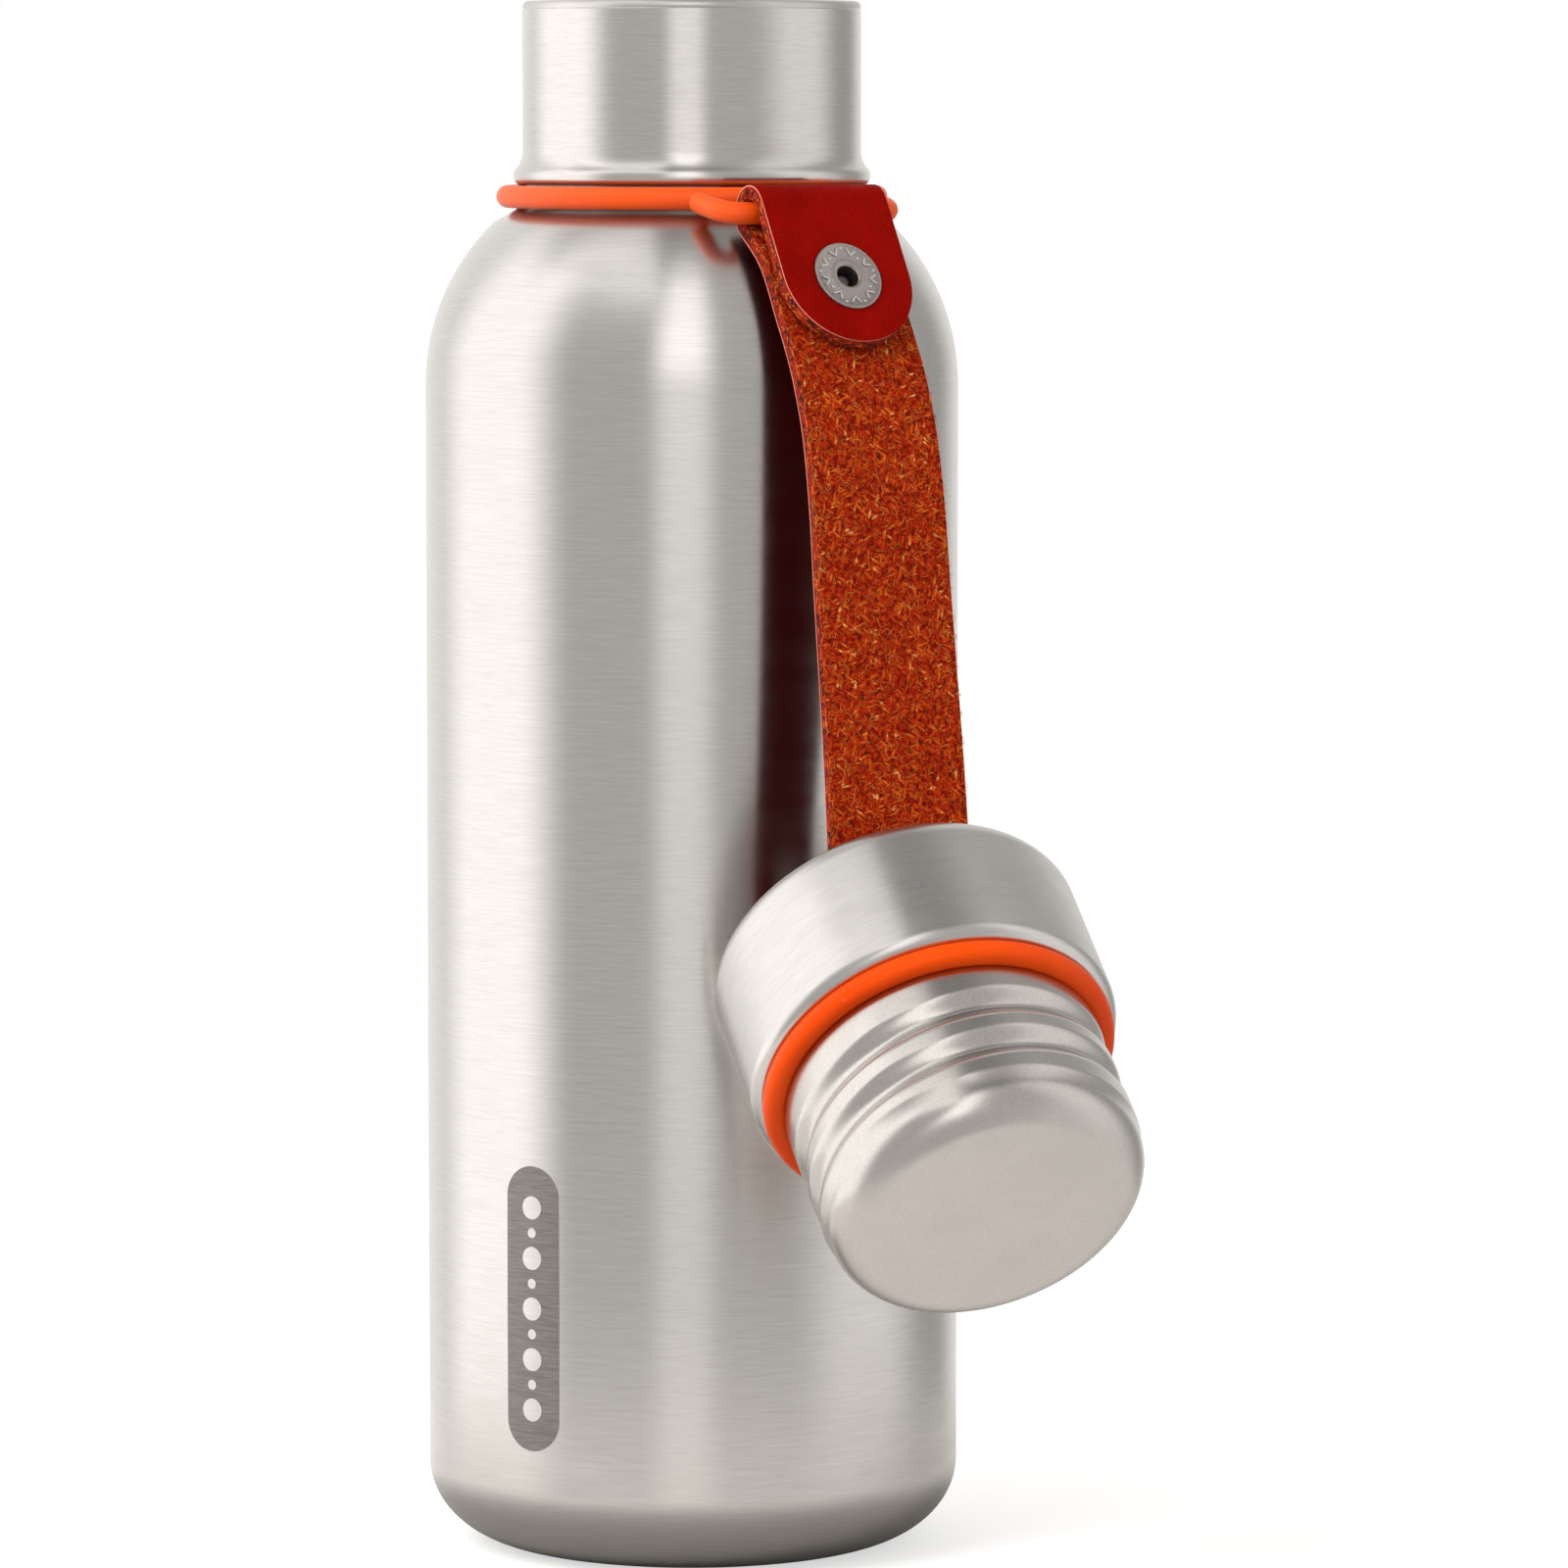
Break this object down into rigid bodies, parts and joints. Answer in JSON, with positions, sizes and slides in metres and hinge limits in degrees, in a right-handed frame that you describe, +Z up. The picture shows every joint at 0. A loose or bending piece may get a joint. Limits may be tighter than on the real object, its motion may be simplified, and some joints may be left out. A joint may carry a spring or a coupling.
{
  "type": "canteen",
  "caption": "Double-walled steel drinking bottle with a screw-in stopper that hangs from a leather strap on a silicone neck band.",
  "frame": {"origin": "centre of the flat base, where the bottle stands", "axes": "+Z up along the bottle's axis; the strap and the stopper hang on the -Y side, turned 31 degrees towards +X"},
  "size_m": [0.0912, 0.1277, 0.2036],
  "materials": {
    "brushed_steel": "brushed round the axis",
    "satin_steel": "fine satin, bead blasted on the end",
    "inner_steel": "electropolished satin",
    "getter_metal": "dark matte",
    "silicone": "satin moulded silicone",
    "leather": "smooth grain outside, fibrous inside",
    "snap_metal": "tumbled nickel",
    "cap_plastic": "matte moulded",
    "cap_foam": "closed cell foam"
  },
  "bodies": {
    "bottle": {"outer_shell": "brushed_steel", "outer_bottom": "inner_steel", "base_plate": "brushed_steel", "vacuum_seal": "getter_metal", "inner_vessel": "inner_steel", "inner_bottom": "inner_steel", "getter": "getter_metal"},
    "band": {"neck_band": "silicone"},
    "strap": {"strap": "leather", "snap_stud": "snap_metal", "snap_post": "snap_metal"},
    "flap": {"strap_flap": "leather", "snap_eyelet": "snap_metal", "snap_socket": "snap_metal"},
    "tail": {"strap_end": "leather", "rivet": "snap_metal", "rivet_washer": "snap_metal"},
    "cap": {"cap_shell": "brushed_steel", "cap_body": "cap_plastic", "cap_seal": "silicone", "cap_plug": "satin_steel", "cap_foam": "cap_foam"}
  },
  "joints": [
    {"name": "band_turn", "type": "hinge", "parent": "bottle", "child": "band", "pos_m": [0, 0, 0.1781], "axis": [0, 0, 1], "continuous": true},
    {"name": "strap_lift", "type": "hinge", "parent": "band", "child": "strap", "pos_m": [0.01566, -0.02606, 0.1763], "axis": [-0.8572, -0.515, 0], "range_deg": [0, 100]},
    {"name": "flap_open", "type": "hinge", "parent": "strap", "child": "flap", "pos_m": [0.01566, -0.02606, 0.1763], "axis": [-0.8572, -0.515, 0], "range_deg": [0, 52]},
    {"name": "cap_fold", "type": "hinge", "parent": "strap", "child": "tail", "pos_m": [0.02676, -0.05075, 0.09043], "axis": [-0.9361, -0.3518, 0], "range_deg": [0, 30]},
    {"name": "cap_swivel", "type": "hinge", "parent": "tail", "child": "cap", "pos_m": [0.0255, -0.0474, 0.0843], "axis": [0.2695, -0.7171, -0.6428], "continuous": true}
  ]
}
